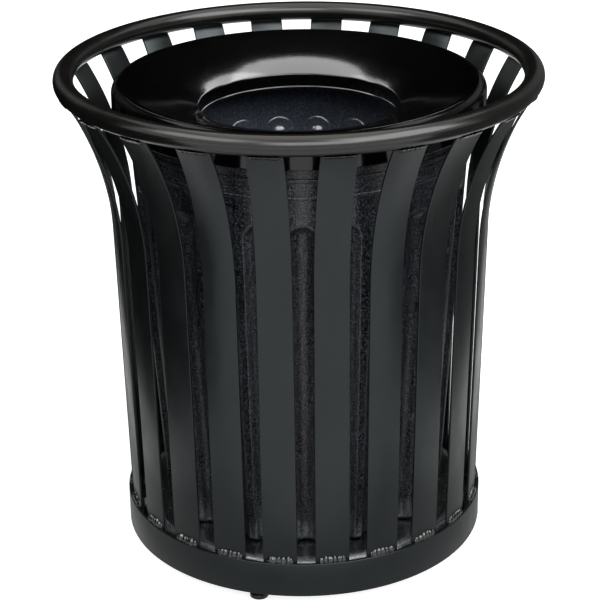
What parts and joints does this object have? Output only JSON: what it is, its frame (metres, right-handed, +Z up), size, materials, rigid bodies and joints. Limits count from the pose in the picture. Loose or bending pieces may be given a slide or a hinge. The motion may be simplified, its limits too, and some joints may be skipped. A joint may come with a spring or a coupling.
{
  "type": "open-top litter bin",
  "caption": "Round outdoor litter bin with a flared cage of flat steel slats, tube rim, base band on levelling feet, fluted lift-out liner and loose ring lid.",
  "frame": {"origin": "on the floor under the centre of the bin, where the feet rest", "axes": "+Z up along the bin's axis; -Y faces the picture's camera; +X to the right of that view"},
  "size_m": [0.6099, 0.61, 0.644],
  "materials": {
    "frame_coat": "satin black powder coat",
    "lid_coat": "gloss black paint",
    "liner_plastic": "grained black moulding",
    "zinc_steel": "zinc plated",
    "foot_nylon": "matt moulding"
  },
  "bodies": {
    "frame": {"rim_tube": "frame_coat", "base_band": "frame_coat", "slat_01": "frame_coat", "slat_02": "frame_coat", "slat_03": "frame_coat", "slat_04": "frame_coat", "slat_05": "frame_coat", "slat_06": "frame_coat", "slat_07": "frame_coat", "slat_08": "frame_coat", "slat_09": "frame_coat", "slat_10": "frame_coat", "slat_11": "frame_coat", "slat_12": "frame_coat", "slat_13": "frame_coat", "slat_14": "frame_coat", "slat_15": "frame_coat", "slat_16": "frame_coat", "slat_17": "frame_coat", "slat_18": "frame_coat", "slat_19": "frame_coat", "slat_20": "frame_coat", "slat_21": "frame_coat", "slat_22": "frame_coat", "band_welds": "frame_coat", "rim_welds": "frame_coat", "floor_pan": "zinc_steel", "weld_nuts": "zinc_steel", "foot_bracket_1": "frame_coat", "foot_bracket_2": "frame_coat", "foot_bracket_3": "frame_coat", "foot_bracket_4": "frame_coat"},
    "liner": {"liner": "liner_plastic"},
    "lid": {"lid": "lid_coat"},
    "pad_1": {"foot_pad_1": "foot_nylon"},
    "stud_1": {"foot_stud_1": "zinc_steel"},
    "pad_2": {"foot_pad_2": "foot_nylon"},
    "stud_2": {"foot_stud_2": "zinc_steel"},
    "pad_3": {"foot_pad_3": "foot_nylon"},
    "stud_3": {"foot_stud_3": "zinc_steel"},
    "pad_4": {"foot_pad_4": "foot_nylon"},
    "stud_4": {"foot_stud_4": "zinc_steel"}
  },
  "joints": [
    {"name": "liner_lift", "type": "slide", "parent": "frame", "child": "liner", "axis": [0, 0, 1], "range_m": [0, 0.6]},
    {"name": "lid_lift", "type": "slide", "parent": "liner", "child": "lid", "axis": [0, 0, 1], "range_m": [0, 0.12]},
    {"name": "foot_1_extend", "type": "slide", "parent": "frame", "child": "pad_1", "axis": [0, 0, -1], "range_m": [0, 0.012]},
    {"name": "foot_1_turn", "type": "hinge", "parent": "pad_1", "child": "stud_1", "pos_m": [-0.06035, -0.20552, 0.016], "axis": [0, 0, -1], "range_deg": [0, 2880]},
    {"name": "foot_2_extend", "type": "slide", "parent": "frame", "child": "pad_2", "axis": [0, 0, -1], "range_m": [0, 0.012]},
    {"name": "foot_2_turn", "type": "hinge", "parent": "pad_2", "child": "stud_2", "pos_m": [0.20552, -0.06035, 0.016], "axis": [0, 0, -1], "range_deg": [0, 2880]},
    {"name": "foot_3_extend", "type": "slide", "parent": "frame", "child": "pad_3", "axis": [0, 0, -1], "range_m": [0, 0.012]},
    {"name": "foot_3_turn", "type": "hinge", "parent": "pad_3", "child": "stud_3", "pos_m": [0.06035, 0.20552, 0.016], "axis": [0, 0, -1], "range_deg": [0, 2880]},
    {"name": "foot_4_extend", "type": "slide", "parent": "frame", "child": "pad_4", "axis": [0, 0, -1], "range_m": [0, 0.012]},
    {"name": "foot_4_turn", "type": "hinge", "parent": "pad_4", "child": "stud_4", "pos_m": [-0.20552, 0.06035, 0.016], "axis": [0, 0, -1], "range_deg": [0, 2880]}
  ],
  "couplings": [
    {"joint": "foot_1_turn", "follows": "foot_1_extend", "rad_per_m": 4188.8},
    {"joint": "foot_2_turn", "follows": "foot_2_extend", "rad_per_m": 4188.8},
    {"joint": "foot_3_turn", "follows": "foot_3_extend", "rad_per_m": 4188.8},
    {"joint": "foot_4_turn", "follows": "foot_4_extend", "rad_per_m": 4188.8}
  ]
}
